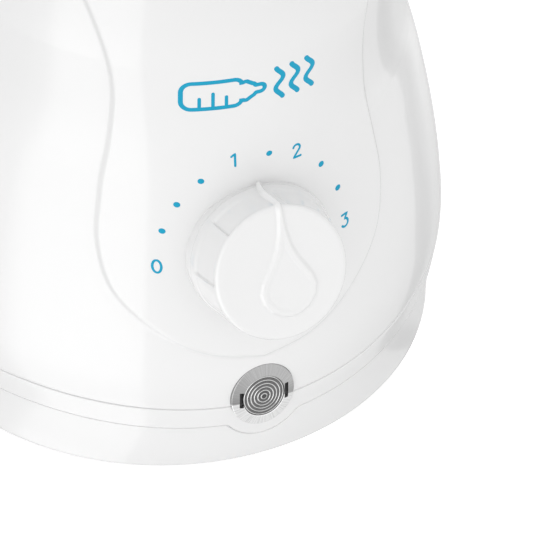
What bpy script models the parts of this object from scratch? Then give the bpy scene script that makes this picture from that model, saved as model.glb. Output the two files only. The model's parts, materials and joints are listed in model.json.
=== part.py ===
"""Electric bottle warmer: a round two-shell body with a heated well, a rotary thermostat and a pilot lamp.

Metres, +Z up, the front faces -Y.  The origin is on the body's axis, at the surface the feet stand on.
"""
import math

import bmesh
import bpy
from mathutils import Euler, Matrix, Vector

# ---------------------------------------------------------------- driving dimensions
GAP = 0.0003                    # clearance between pieces that touch
WALL = 0.0022                   # shell wall
UNDERSIDE_Z = 0.0005            # base tray above the floor
PARTING_Z = 0.0215              # joint between housing and base tray
BAND_Z = 0.0147                 # lower edge of the base tray's band
BAND_STEP = 0.0004
TONGUE_TOP_Z = 0.0256           # the tray's inner tongue, inside the housing
TOP_Z = 0.150
SHELL_STEPS = 48

# Outer radius of the body at the front, by height.
BODY_STATIONS = [
    (0.000, 0.0648), (0.004, 0.0654), (0.012, 0.0665), (0.024, 0.0680), (0.038, 0.0668),
    (0.054, 0.0641), (0.070, 0.0605), (0.088, 0.0558), (0.110, 0.0535), (0.130, 0.0527),
    (0.150, 0.0546),
]
# Half width of the raised front panel, from its lowest point upwards.
PANEL_STATIONS = [
    (0.0, 0.0360), (0.0137, 0.0390), (0.0245, 0.0457), (0.0320, 0.0546), (0.0341, 0.0665),
    (0.0326, 0.0788), (0.0302, 0.0930), (0.0298, 0.1102), (0.0345, 0.1300), (0.0420, 0.1480),
]
PANEL_RAISE = 0.0010
PANEL_TOP_Z = 0.1440

# How much the body is flattened on its diagonals.  The foot swells a little on them instead.
SQUARENESS = 0.0165
SQUARE_FOOT = 1.4               # share of it that is taken off at the foot
SQUARE_START = 0.008            # height over which it sets in
SQUARE_FADE = (0.082, 0.114)    # heights between which it goes back to round
ROUND_WITHIN = 0.0465           # everything nearer the axis than this stays round

# Warming well
WELL_RADIUS = 0.0380
WELL_WALL = 0.0012
WELL_FLOOR_Z = 0.0535
WELL_FLANGE_Z = 0.1359
WELL_FLANGE_RADIUS = 0.0434
LIP_RADIUS = 0.0384
LIP_Z = 0.1380
RETAINER_RADIUS = 0.0469
STUD_RADIUS = 0.0025

# Dial: knob and thermostat share one axis, square to the sloping wall.
DIAL_Z = 0.0645
DIAL_TILT = math.radians(13.0)
SEAT_RADIUS = 0.0174
SEAT_OUT = 0.0012
SHAFT_RADIUS = 0.0030
BUSH_RADIUS = 0.0044
KNOB_BASE_OUT = 0.0016
KNOB_FACE_OUT = 0.0134
KNOB_FACE_RADIUS = 0.0158
KNOB_SKIRT_RADIUS = 0.0172
KNOB_SLANT = math.radians(11.0)  # the face leans back at the pointer
KNOB_SLANT_FROM = 0.0050         # the slant grows from here to the face
KNOB_RISE = 0.0006               # the face sits this much towards the pointer

# Pilot lamp
LAMP_Z = 0.0241
LAMP_TILT = math.radians(4.0)
BEZEL_RADIUS = 0.0077
LENS_RADIUS = 0.0050
BARREL_RADIUS = 0.0061
LAMP_STRETCH = 1.15             # the lamp is an upright oval
COLLAR_RADIUS = 0.0110
COLLAR_PROUD = 0.0001           # the collar over the band, so that their faces don't coincide

# Fixings, feet and cord inlet
SCREW_RING = 0.0575
SCREW_ANGLES = [math.radians(a) for a in (15, 165, 195, 345)]
BOSS_RADIUS = 0.0042
FOOT_RING = 0.0500
FOOT_ANGLES = [math.radians(a) for a in (45, 135, 225, 315)]
FOOT_RADIUS = 0.0060
RETAINER_ANGLES = [math.radians(a) for a in (30, 150, 270)]
CORD_Z = 0.0115
CORD_HOLE_RADIUS = 0.0036

# Colours
WHITE = (0.90, 0.91, 0.92)
CHROME = (0.80, 0.81, 0.82)
ALUMINIUM = (0.78, 0.79, 0.80)
STEEL = (0.62, 0.63, 0.65)
RUBBER = (0.32, 0.33, 0.35)


# ---------------------------------------------------------------- curves that set the form
def smooth(stations, t):
    """Cubic through (t, value) stations, with the slope at each station taken from its neighbours."""
    last = len(stations) - 1

    def slope(i):
        a, b = stations[max(i - 1, 0)], stations[min(i + 1, last)]
        return (b[1] - a[1]) / (b[0] - a[0])

    i = 0
    while i < last - 1 and t > stations[i + 1][0]:
        i += 1
    (t0, v0), (t1, v1) = stations[i], stations[i + 1]
    span = t1 - t0
    s = min(max((t - t0) / span, 0.0), 1.0)
    return ((1 + 2 * s) * (1 - s) ** 2 * v0 + s * (1 - s) ** 2 * span * slope(i)
            + s * s * (3 - 2 * s) * v1 + s * s * (s - 1) * span * slope(i + 1))


def smooth_path(points, spans):
    """A smooth path through the points, with `spans` straight pieces between neighbours."""
    axes = [[(float(i), p[k]) for i, p in enumerate(points)] for k in range(len(points[0]))]
    count = (len(points) - 1) * spans
    return [tuple(smooth(axis, j / spans) for axis in axes) for j in range(count + 1)]


def body_radius(z):
    return smooth(BODY_STATIONS, z)


def radial_factor(phi, z):
    """Scale of the body's radius at an angle from the front, for the flattened diagonals."""
    rise = 1 - SQUARE_FOOT * math.exp(-max(z, 0.0) / SQUARE_START)
    low, high = SQUARE_FADE
    fade = min(max((high - z) / (high - low), 0.0), 1.0)
    return 1 + SQUARENESS * rise * fade * (math.cos(4 * phi) - 1)


def heights(low, high, count):
    return [low + (high - low) * i / (count - 1) for i in range(count)]


def wall_line(zs, inset=0.0):
    return [(body_radius(z) - inset, z) for z in zs]


# ---------------------------------------------------------------- scene helpers
def collection(name):
    made = bpy.data.collections.new(name)
    bpy.context.scene.collection.children.link(made)
    return made


def material(name, colour, roughness, metallic=0.0, alpha=1.0):
    made = bpy.data.materials.new(name)
    made.use_nodes = True
    shader = made.node_tree.nodes["Principled BSDF"]
    shader.inputs["Base Color"].default_value = (*colour, 1.0)
    shader.inputs["Roughness"].default_value = roughness
    shader.inputs["Metallic"].default_value = metallic
    shader.inputs["Alpha"].default_value = alpha
    return made


def add_object(name, mesh, target, mat=None, parent=None):
    made = bpy.data.objects.new(name, mesh)
    target.objects.link(made)
    made.parent = parent
    if mat:
        mesh.materials.append(mat)
        mesh.shade_smooth()
        mesh.set_sharp_from_angle(angle=math.radians(35))
    else:
        made.hide_render = True
        made.display_type = "WIRE"
    return made


def mesh_from(bm, name):
    mesh = bpy.data.meshes.new(name)
    bm.to_mesh(mesh)
    bm.free()
    return mesh


def settled(source):
    """The object's evaluated mesh, in its own space."""
    graph = bpy.context.evaluated_depsgraph_get()
    return bpy.data.meshes.new_from_object(source.evaluated_get(graph))


def screw_modifier(made, steps):
    turn = made.modifiers.new("turn", "SCREW")
    turn.axis = "Z"
    turn.steps = steps
    turn.render_steps = steps
    turn.use_merge_vertices = True
    turn.merge_threshold = 0.00001


def turned(name, profile, steps, target, mat=None, parent=None):
    """A closed (radius, z) section turned about Z.  The section runs down its outer side."""
    bm = bmesh.new()
    points = [bm.verts.new((r, 0.0, z)) for r, z in profile]
    for a, b in zip(points, points[1:]):
        bm.edges.new((a, b))
    if profile[0][0] > 0 or profile[-1][0] > 0:
        bm.edges.new((points[-1], points[0]))
    made = add_object(name, mesh_from(bm, name), target, mat, parent)
    screw_modifier(made, steps)
    return made


def tube(name, radius, route, target, mat, spans=3):
    """A round lead along a smooth route."""
    curve = bpy.data.curves.new(name, "CURVE")
    curve.dimensions = "3D"
    curve.bevel_depth = radius
    curve.bevel_resolution = 1
    curve.use_fill_caps = True
    points = smooth_path(route, spans)
    spline = curve.splines.new("POLY")
    spline.points.add(len(points) - 1)
    for point, place in zip(spline.points, points):
        point.co = (*place, 1.0)
    made = bpy.data.objects.new(name, curve)
    target.objects.link(made)
    curve.materials.append(mat)
    return made


def add_cylinder(bm, radius, start, end, segments=24):
    start, end = Vector(start), Vector(end)
    line = end - start
    turn = line.to_track_quat("Z", "Y").to_matrix().to_4x4()
    bmesh.ops.create_cone(
        bm, cap_ends=True, cap_tris=False, segments=segments, radius1=radius, radius2=radius,
        depth=line.length, matrix=Matrix.Translation((start + end) / 2) @ turn)


def add_box(bm, low, high):
    low, high = Vector(low), Vector(high)
    size = Matrix.Diagonal((*(high - low), 1.0))
    bmesh.ops.create_cube(bm, size=1.0, matrix=Matrix.Translation((low + high) / 2) @ size)


def solids(name, target, mat=None, parent=None, cylinders=(), boxes=(), segments=20):
    """One object made of cylinders (radius, start, end) and boxes (low, high)."""
    bm = bmesh.new()
    for radius, start, end in cylinders:
        add_cylinder(bm, radius, start, end, segments)
    for low, high in boxes:
        add_box(bm, low, high)
    return add_object(name, mesh_from(bm, name), target, mat, parent)


def hex_nut(name, radius, bore_radius, low, high, target, cutters, mat, parent=None):
    nut = solids(name, target, mat, parent, segments=6, cylinders=[(radius, (0, 0, low), (0, 0, high))])
    bore = solids(name + "_bore", cutters, parent=parent,
                  cylinders=[(bore_radius, (0, 0, low - 0.005), (0, 0, high + 0.005))])
    combine(nut, bore, "DIFFERENCE")


def outline_prism(name, points, low, high, target, parent=None):
    """A flat outline in the object's XY plane, pulled from low to high along its Z."""
    curve = bpy.data.curves.new(name, "CURVE")
    curve.dimensions = "2D"
    curve.fill_mode = "BOTH"
    curve.extrude = (high - low) / 2
    spline = curve.splines.new("POLY")
    spline.points.add(len(points) - 1)
    for point, (x, y) in zip(spline.points, points):
        point.co = (x, y, 0.0, 1.0)
    spline.use_cyclic_u = True
    source = bpy.data.objects.new(name, curve)
    target.objects.link(source)
    mesh = settled(source)
    bm = bmesh.new()
    bm.from_mesh(mesh)
    bmesh.ops.remove_doubles(bm, verts=bm.verts, dist=0.000001)
    bmesh.ops.translate(bm, verts=bm.verts, vec=(0.0, 0.0, (low + high) / 2))
    bmesh.ops.recalc_face_normals(bm, faces=bm.faces)
    bm.to_mesh(mesh)
    bm.free()
    bpy.data.objects.remove(source)
    return add_object(name, mesh, target, None, parent)


def combine(made, other, operation):
    boolean = made.modifiers.new(other.name, "BOOLEAN")
    boolean.operation = operation
    boolean.object = other


def square_up(made):
    """Settle a turned shell and flatten its diagonals."""
    mesh = settled(made)
    for vertex in mesh.vertices:
        x, y, z = vertex.co
        if math.hypot(x, y) > ROUND_WITHIN:
            factor = radial_factor(math.atan2(x, -y), z)
            vertex.co = (x * factor, y * factor, z)
    made.modifiers.clear()
    made.data = mesh


def stretch_up(made):
    """Settle a turned lamp piece and make it an upright oval."""
    mesh = settled(made)
    for vertex in mesh.vertices:
        vertex.co.y *= LAMP_STRETCH
    made.modifiers.clear()
    made.data = mesh


def slant_face(made):
    """Settle the knob and lean its face back at the pointer."""
    mesh = settled(made)
    for vertex in mesh.vertices:
        share = (vertex.co.z - KNOB_SLANT_FROM) / (KNOB_FACE_OUT - KNOB_SLANT_FROM)
        share = min(max(share, 0.0), 1.0)
        vertex.co.z -= share * vertex.co.y * math.tan(KNOB_SLANT)
        vertex.co.y += share * KNOB_RISE
    made.modifiers.clear()
    made.data = mesh


def on_ring(radius, angle, z):
    return (radius * math.cos(angle), radius * math.sin(angle), z)


def axis_empty(name, z, tilt, target):
    """An empty on the front wall whose Z points out of the wall and whose Y points up along it."""
    made = bpy.data.objects.new(name, None)
    target.objects.link(made)
    made.location = (0.0, -body_radius(z), z)
    made.rotation_euler = Euler((math.pi / 2 - tilt, 0.0, 0.0))
    return made


# ---------------------------------------------------------------- casing
def make_housing(parts, cutters, dial, lamp, white):
    low = PARTING_Z + GAP / 2
    crest = 0.0024
    centre_z = TOP_Z - crest
    centre_r = body_radius(centre_z) - crest
    arc = [math.pi * a / 4 for a in range(4, -1, -1)]
    section = [(centre_r + crest * math.cos(a), centre_z + crest * math.sin(a)) for a in arc]
    section += wall_line(heights(centre_z - 0.006, low, 11))
    section += wall_line(heights(low, LIP_Z + 0.004, 6), WALL)
    section += [(0.0470, 0.1440), (0.0412, 0.1412), (0.0404, LIP_Z), (LIP_RADIUS, LIP_Z),
                (LIP_RADIUS, 0.1417), (0.0398, 0.1434), (0.0450, 0.1456)]
    housing = turned("housing", section, SHELL_STEPS, parts, white)
    square_up(housing)

    panel_low = PANEL_STATIONS[0][1] - 0.004
    zs = heights(PANEL_TOP_Z, panel_low, 10)
    slab_section = wall_line(zs, -PANEL_RAISE) + wall_line(reversed(zs), WALL / 2)
    slab = turned("panel_slab", slab_section, SHELL_STEPS, cutters)
    square_up(slab)
    half = smooth_path(PANEL_STATIONS, 2)
    outline = half + [(-x, z) for x, z in reversed(half) if x > 0]
    prism = outline_prism("panel_outline", outline, 0.010, 0.090, cutters)
    prism.rotation_euler = Euler((math.pi / 2, 0.0, 0.0))
    combine(slab, prism, "INTERSECT")
    combine(housing, slab, "UNION")

    seat = solids("dial_seat", cutters, parent=dial, segments=32,
                  cylinders=[(SEAT_RADIUS, (0, 0, -0.0030), (0, 0, SEAT_OUT))])
    combine(housing, seat, "UNION")

    boss_low, boss_high = low + 0.0006, 0.0380
    columns = [(BOSS_RADIUS, on_ring(SCREW_RING, a, boss_low), on_ring(SCREW_RING, a, boss_high))
               for a in SCREW_ANGLES]
    webs = []
    for a in SCREW_ANGLES:
        near, far = on_ring(SCREW_RING, a, TONGUE_TOP_Z + 0.0006), on_ring(0.0653, a, boss_high - 0.0004)
        webs.append(((min(near[0], far[0]), near[1] - 0.0012, near[2]),
                     (max(near[0], far[0]), near[1] + 0.0012, far[2])))
    hangers = [(0.0026, on_ring(RETAINER_RADIUS, a, 0.1346), on_ring(RETAINER_RADIUS, a, 0.1446))
               for a in RETAINER_ANGLES]
    for i, column in enumerate(columns):
        combine(housing, solids(f"boss_{i}", cutters, cylinders=[column], segments=12), "UNION")
        combine(housing, solids(f"boss_web_{i}", cutters, boxes=[webs[i]]), "UNION")
    combine(housing, solids("well_hangers", cutters, cylinders=hangers, segments=12), "UNION")

    bores = [(0.0017, on_ring(SCREW_RING, a, 0.010), on_ring(SCREW_RING, a, 0.0355))
             for a in SCREW_ANGLES]
    bores += [(0.0013, on_ring(RETAINER_RADIUS, a, 0.130), on_ring(RETAINER_RADIUS, a, 0.1425))
              for a in RETAINER_ANGLES]
    combine(housing, solids("housing_bores", cutters, cylinders=bores, segments=12), "DIFFERENCE")
    spindle_hole = solids("spindle_hole", cutters, parent=dial,
                          cylinders=[(BUSH_RADIUS + GAP, (0, 0, -0.010), (0, 0, 0.010))])
    combine(housing, spindle_hole, "DIFFERENCE")
    hole, recess = BARREL_RADIUS + GAP, BEZEL_RADIUS + GAP
    lamp_hole = turned("lamp_hole", [(0.0, 0.006), (recess, 0.006), (recess, -0.0014), (hole, -0.0014),
                                     (hole, -0.012), (0.0, -0.012)], 32, cutters, parent=lamp)
    stretch_up(lamp_hole)
    combine(housing, lamp_hole, "DIFFERENCE")
    return lamp_hole


def make_base_tray(parts, cutters, lamp, lamp_hole, white):
    top = PARTING_Z - GAP / 2
    floor_z = UNDERSIDE_Z + 0.0024
    tongue_out = body_radius(PARTING_Z) - WALL - 0.0009
    section = [(0.0, floor_z), (body_radius(floor_z) - WALL, floor_z)]
    section += wall_line((0.010, 0.016), WALL + BAND_STEP)
    section += [(tongue_out - 0.0012, 0.0185), (tongue_out - 0.0012, TONGUE_TOP_Z),
                (tongue_out, TONGUE_TOP_Z),
                (tongue_out, top), (body_radius(top), top)]
    section += wall_line((0.0185, BAND_Z))
    section += wall_line((BAND_Z - 0.0003, 0.0105, 0.0065, 0.0030), BAND_STEP)
    section += [(body_radius(0.0) - 0.0004, UNDERSIDE_Z + 0.0004),
                (body_radius(0.0) - 0.0010, UNDERSIDE_Z), (0.0, UNDERSIDE_Z)]
    tray = turned("base_tray", section, SHELL_STEPS, parts, white)
    square_up(tray)

    collar_zs = (BAND_Z + 0.0015, BAND_Z, 0.0125, 0.0090)
    collar_section = wall_line(collar_zs, -COLLAR_PROUD) + wall_line(reversed(collar_zs), WALL * 0.6)
    collar = turned("lamp_collar", collar_section, SHELL_STEPS, cutters)
    square_up(collar)
    disc = solids("collar_disc", cutters, parent=lamp, segments=32,
                  cylinders=[(COLLAR_RADIUS, (0, 0, -0.012), (0, 0, 0.006))])
    stretch_up(disc)
    combine(collar, disc, "INTERSECT")
    combine(tray, collar, "UNION")

    posts = [(BOSS_RADIUS, on_ring(SCREW_RING, a, 0.0015), on_ring(SCREW_RING, a, top))
             for a in SCREW_ANGLES]
    combine(tray, solids("tray_posts", cutters, cylinders=posts, segments=12), "UNION")
    boss = solids("cord_boss", cutters, cylinders=[(0.0085, (0, 0.0580, CORD_Z), (0, 0.0686, CORD_Z))])
    combine(tray, boss, "UNION")

    cuts = [(0.0017, on_ring(SCREW_RING, a, 0.0), on_ring(SCREW_RING, a, 0.030)) for a in SCREW_ANGLES]
    combine(tray, solids("tray_bores", cutters, cylinders=cuts, segments=12), "DIFFERENCE")
    cuts = [(0.0035, on_ring(SCREW_RING, a, -0.002), on_ring(SCREW_RING, a, 0.0080)) for a in SCREW_ANGLES]
    cuts += [(FOOT_RADIUS + GAP, on_ring(FOOT_RING, a, -0.001), on_ring(FOOT_RING, a, 0.0021))
             for a in FOOT_ANGLES]
    combine(tray, solids("tray_pockets", cutters, cylinders=cuts, segments=16), "DIFFERENCE")
    inlet = solids("cord_inlet", cutters, cylinders=[(0.0058, (0, 0.050, CORD_Z), (0, 0.080, CORD_Z))])
    combine(tray, inlet, "DIFFERENCE")
    combine(tray, lamp_hole, "DIFFERENCE")


def make_fixings(parts, steel, rubber):
    for i, a in enumerate(SCREW_ANGLES):
        section = [(0.0, 0.0350), (0.0008, 0.0350), (0.0014, 0.0335), (0.0014, 0.0076), (0.0031, 0.0076),
                   (0.0031, 0.0064), (0.0022, 0.0054), (0.0, 0.0052)]
        made = turned(f"case_screw_{i + 1}", section, 10, parts, steel)
        made.location = on_ring(SCREW_RING, a, 0.0)
    for i, a in enumerate(RETAINER_ANGLES):
        section = [(0.0, 0.1420), (0.0010, 0.1420), (0.0010, 0.1320), (0.0021, 0.1320), (0.0021, 0.1309),
                   (0.0013, 0.1302), (0.0, 0.1302)]
        made = turned(f"retainer_screw_{i + 1}", section, 10, parts, steel)
        made.location = on_ring(RETAINER_RADIUS, a, 0.0)
    for i, a in enumerate(FOOT_ANGLES):
        section = [(0.0, 0.0018), (FOOT_RADIUS, 0.0018), (FOOT_RADIUS, 0.0005), (FOOT_RADIUS - 0.0005, 0.0),
                   (0.0, 0.0)]
        made = turned(f"foot_{i + 1}", section, 16, parts, rubber)
        made.location = on_ring(FOOT_RING, a, 0.0)


def make_cord_gland(parts, rubber):
    """A flanged grommet on the cord boss, turned about Z and laid along +Y."""
    section = [(CORD_HOLE_RADIUS, 0.0704), (0.0066, 0.0704), (0.0072, 0.0698), (0.0072, 0.0689),
               (0.0055, 0.0689), (0.0055, 0.0577), (0.0072, 0.0577), (0.0072, 0.0562),
               (CORD_HOLE_RADIUS, 0.0562)]
    made = turned("cord_gland", section, 20, parts, rubber)
    made.location = (0.0, 0.0, CORD_Z)
    made.rotation_euler = Euler((-math.pi / 2, 0.0, 0.0))


# ---------------------------------------------------------------- well and heater
def make_well(parts, cutters, metal, silicone, steel):
    outer = WELL_RADIUS + WELL_WALL
    flange_low = WELL_FLANGE_Z - WELL_WALL
    bottom = WELL_FLOOR_Z - 0.0015
    section = [(0.0, WELL_FLOOR_Z), (WELL_RADIUS - 0.003, WELL_FLOOR_Z), (WELL_RADIUS, WELL_FLOOR_Z + 0.003),
               (WELL_RADIUS, WELL_FLANGE_Z), (WELL_FLANGE_RADIUS, WELL_FLANGE_Z),
               (WELL_FLANGE_RADIUS, flange_low), (outer, flange_low), (outer, WELL_FLOOR_Z + 0.0022),
               (outer - 0.0035, bottom), (STUD_RADIUS, bottom), (STUD_RADIUS, 0.0390),
               (STUD_RADIUS - 0.0006, 0.0384), (0.0, 0.0384)]
    well = turned("heating_well", section, 32, parts, metal)
    pocket_ring, pocket_angle = outer + 0.0027, math.radians(-50)
    pocket = solids("sensor_pocket", cutters, segments=16, cylinders=[
        (0.0034, on_ring(pocket_ring, pocket_angle, 0.062), on_ring(pocket_ring, pocket_angle, 0.090))])
    combine(well, pocket, "UNION")
    bore = solids("sensor_bore", cutters, segments=16, cylinders=[
        (0.0023, on_ring(pocket_ring, pocket_angle, 0.055), on_ring(pocket_ring, pocket_angle, 0.0885))])
    combine(well, bore, "DIFFERENCE")
    bulb_foot = on_ring(pocket_ring, pocket_angle, 0.0600)
    solids("sensor_bulb", parts, steel, segments=16,
           cylinders=[(0.0019, bulb_foot, on_ring(pocket_ring, pocket_angle, 0.0880))])
    x, y, z = bulb_foot
    tube("capillary_tube", 0.0006, [
        (0.0136, -0.0511, 0.0665), (0.0176, -0.0500, 0.0640), (0.0232, -0.0440, 0.0580),
        (x + 0.0010, y - 0.0040, 0.0545), (x + 0.0002, y - 0.0006, 0.0560), (x, y, z - GAP)], parts, steel)

    turned("well_seal", [(LIP_RADIUS + 0.0002, LIP_Z - GAP), (0.0434, LIP_Z - GAP), (0.0434, WELL_FLANGE_Z + GAP),
                         (LIP_RADIUS + 0.0002, WELL_FLANGE_Z + GAP)], 32, parts, silicone)
    ring = turned("well_retainer", [(outer + GAP, flange_low - GAP), (0.0492, flange_low - GAP),
                                    (0.0492, flange_low - 0.0023), (outer + GAP, flange_low - 0.0023)],
                  32, parts, steel)
    holes = [(0.0013, on_ring(RETAINER_RADIUS, a, 0.130), on_ring(RETAINER_RADIUS, a, 0.136))
             for a in RETAINER_ANGLES]
    combine(ring, solids("retainer_holes", cutters, cylinders=holes, segments=12), "DIFFERENCE")


def make_heater(parts, cutters, steel, ceramic):
    top = WELL_FLOOR_Z - 0.0015 - GAP
    plate = turned("heater_plate", [(STUD_RADIUS + 0.0005, top), (0.0300, top), (0.0300, top - 0.0030),
                                    (STUD_RADIUS + 0.0005, top - 0.0030)], 28, parts, ceramic)
    tabs = [((0.0285, -0.003, top - 0.0022), (0.0362, 0.003, top - 0.0012)),
            ((-0.0362, -0.003, top - 0.0022), (-0.0285, 0.003, top - 0.0012))]
    combine(plate, solids("heater_tabs", cutters, boxes=tabs), "UNION")
    clamp_top = top - 0.0030 - GAP
    clamp = solids("heater_clamp", parts, steel,
                   boxes=[((-0.025, -0.007, clamp_top - 0.0015), (0.025, 0.007, clamp_top))])
    hole = solids("clamp_hole", cutters, segments=16, cylinders=[
        (STUD_RADIUS + 0.0005, (0, 0, clamp_top - 0.006), (0, 0, clamp_top + 0.006))])
    combine(clamp, hole, "DIFFERENCE")
    nut_top = clamp_top - 0.0015 - GAP
    hex_nut("heater_nut", 0.0046, STUD_RADIUS + GAP, nut_top - 0.0030, nut_top, parts, cutters, steel)
    return top - 0.0022


def make_fuse(parts, steel):
    section = [(0.0, 0.0100), (0.0005, 0.0100), (0.0005, 0.0070), (0.0013, 0.0068), (0.0020, 0.0060),
               (0.0020, -0.0060), (0.0013, -0.0068), (0.0005, -0.0070), (0.0005, -0.0100), (0.0, -0.0100)]
    made = turned("thermal_fuse", section, 12, parts, steel)
    made.location = (0.0, 0.020, 0.0440)
    made.rotation_euler = Euler((0.0, math.pi / 2, 0.0))


# ---------------------------------------------------------------- dial
def make_thermostat(parts, cutters, dial, dark, steel, brass):
    body = solids("thermostat_body", parts, dark, dial, boxes=[((-0.013, -0.011, -0.017), (0.013, 0.011, -0.0045))])
    bush = solids("thermostat_bush", cutters, parent=dial, cylinders=[(BUSH_RADIUS, (0, 0, -0.0055), (0, 0, 0.0046))])
    combine(body, bush, "UNION")
    chamber = solids("thermostat_chamber", cutters, parent=dial,
                     boxes=[((-0.010, -0.014, -0.0146), (0.010, 0.008, -0.0062))])
    combine(body, chamber, "DIFFERENCE")
    bore = solids("bush_bore", cutters, parent=dial,
                  cylinders=[(SHAFT_RADIUS + GAP, (0, 0, -0.008), (0, 0, 0.008))])
    combine(body, bore, "DIFFERENCE")
    hex_nut("thermostat_nut", 0.0074, BUSH_RADIUS + GAP, SEAT_OUT + GAP, 0.0036, parts, cutters, brass, dial)
    turned("thermostat_shaft", [(0.0, 0.0088), (SHAFT_RADIUS - 0.0005, 0.0088), (SHAFT_RADIUS, 0.0083),
                                (SHAFT_RADIUS, -0.0080), (0.0, -0.0080)], 16, parts, steel, dial)
    turned("adjusting_pin", [(0.0, -0.0089), (0.0012, -0.0089), (0.0012, -0.0116), (0.0, -0.0122)],
           12, parts, brass, dial)
    solids("contact_leaf", parts, brass, dial, boxes=[((-0.0090, -0.0025, -0.0143), (0.0090, 0.0025, -0.0138))])


def drop_outline(bulb_radius, tip):
    """A drop about the origin: a round bulb whose sides sweep in to a narrow tip."""
    sides = [(bulb_radius * math.sin(a), -bulb_radius * math.cos(a)) for a in
             [math.pi * i / 12 for i in range(0, 9)]]
    sides += [(bulb_radius * width, bulb_radius * height) for width, height in
              ((0.52, 0.95), (0.29, 1.5), (0.19, 2.0), (0.10, 2.5))]
    sides += [(bulb_radius * 0.05, tip)]
    return sides + [(-x, y) for x, y in reversed(sides) if x > 0]


def make_knob(parts, cutters, dial, white):
    base, face, radius = KNOB_BASE_OUT, KNOB_FACE_OUT, KNOB_FACE_RADIUS
    under = face - 0.0020
    section = [(0.0, face), (radius - 0.0016, face), (radius - 0.0005, face - 0.0004), (radius, face - 0.0014),
               (radius + 0.0006, base + 0.0030), (KNOB_SKIRT_RADIUS, base), (radius - 0.0010, base),
               (radius - 0.0018, under), (0.0052, under), (0.0052, 0.0050), (SHAFT_RADIUS + GAP, 0.0050),
               (SHAFT_RADIUS + GAP, 0.0096), (0.0, 0.0096)]
    knob = turned("control_knob", section, 32, parts, white, dial)
    drop = outline_prism("knob_drop", drop_outline(0.0067, 0.0200), face - 0.0012, face + 0.0006, cutters, dial)
    drop.location = (0.0, -0.0034, 0.0)
    combine(knob, drop, "UNION")
    fin = solids("knob_fin", cutters, parent=dial,
                 boxes=[((-0.0006, radius - 0.0016, base + 0.0002), (0.0006, 0.0184, face - 0.0004))])
    combine(knob, fin, "UNION")
    slant_face(knob)


# ---------------------------------------------------------------- pilot lamp
def make_lamp(parts, lamp, chrome, clear, glow, dark):
    barrel = LENS_RADIUS + GAP
    bezel = turned("lamp_bezel", [(barrel, 0.0008), (BEZEL_RADIUS - 0.0003, 0.0002), (BEZEL_RADIUS, -0.0001),
                                  (BEZEL_RADIUS, -0.0011), (BARREL_RADIUS, -0.0011), (BARREL_RADIUS, -0.0120),
                                  (barrel, -0.0120)], 24, parts, chrome, lamp)
    lens = turned("lamp_lens", [(0.0, 0.0010), (0.0030, 0.0009), (LENS_RADIUS, 0.0005), (LENS_RADIUS, -0.0031),
                                (0.0, -0.0031)], 20, parts, clear, lamp)
    stretch_up(bezel)
    stretch_up(lens)
    turned("lamp_led", [(0.0, -0.0036), (0.0015, -0.0040), (0.0024, -0.0052), (0.0024, -0.0084),
                        (0.0, -0.0084)], 20, parts, glow, lamp)
    turned("lamp_holder", [(0.0, -0.0087), (LENS_RADIUS, -0.0087), (LENS_RADIUS, -0.0122), (0.0, -0.0122)],
           24, parts, dark, lamp)


# ---------------------------------------------------------------- wiring
def make_wiring(parts, dial, lamp, heater_tab_z, colours, dark):
    block = ((-0.013, 0.034, 0.0035), (0.013, 0.046, 0.0145))
    solids("terminal_block", parts, dark, boxes=[block])
    block_top = block[1][2] + GAP
    block_front = block[0][1] - GAP
    bpy.context.view_layer.update()
    left_tab = dial.matrix_world @ Vector((-0.0115, -0.0115, -0.0100))
    right_tab = dial.matrix_world @ Vector((0.0115, -0.0115, -0.0100))
    tail = lamp.matrix_world @ Vector((0.0, 0.0, -0.0127))
    heater_z = heater_tab_z - GAP
    routes = {
        "lead_live": ("brown", 0.0009, [
            (-0.009, 0.040, block_top), (-0.010, 0.038, 0.020), (-0.022, 0.026, 0.027), (-0.036, 0.004, 0.029),
            (-0.036, -0.020, 0.031), (-0.024, -0.042, 0.036), (-0.0125, -0.0535, 0.045), tuple(left_tab)]),
        "lead_switched": ("brown", 0.0009, [
            tuple(right_tab), (0.0130, -0.0530, 0.045), (0.024, -0.044, 0.040), (0.036, -0.026, 0.040),
            (0.039, -0.009, 0.042), (0.0345, -0.0005, 0.0450), (0.0340, 0.0, heater_z - 0.0005)]),
        "lead_neutral_a": ("blue", 0.0009, [
            (0.009, 0.040, block_top), (0.010, 0.039, 0.022), (0.017, 0.032, 0.032), (0.019, 0.024, 0.041),
            (0.0150, 0.0203, 0.0438), (0.0105, 0.020, 0.0440)]),
        "lead_neutral_b": ("blue", 0.0009, [
            (-0.0105, 0.020, 0.0440), (-0.016, 0.0195, 0.0438), (-0.030, 0.012, 0.0420), (-0.0345, 0.001, 0.0450),
            (-0.0340, 0.0, heater_z - 0.0005)]),
        "lead_lamp_a": ("brown", 0.0007, [
            (-0.0015, tail.y, tail.z), (-0.003, -0.050, 0.0215), (-0.014, -0.034, 0.016), (-0.012, 0.000, 0.009),
            (-0.006, 0.026, 0.008), (-0.005, block_front, 0.008)]),
        "lead_lamp_b": ("blue", 0.0007, [
            (0.0015, tail.y, tail.z), (0.003, -0.050, 0.0215), (0.014, -0.034, 0.016), (0.012, 0.000, 0.009),
            (0.006, 0.026, 0.008), (0.005, block_front, 0.008)]),
    }
    for name, (colour, radius, route) in routes.items():
        tube(name, radius, route, parts, colours[colour])


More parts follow.
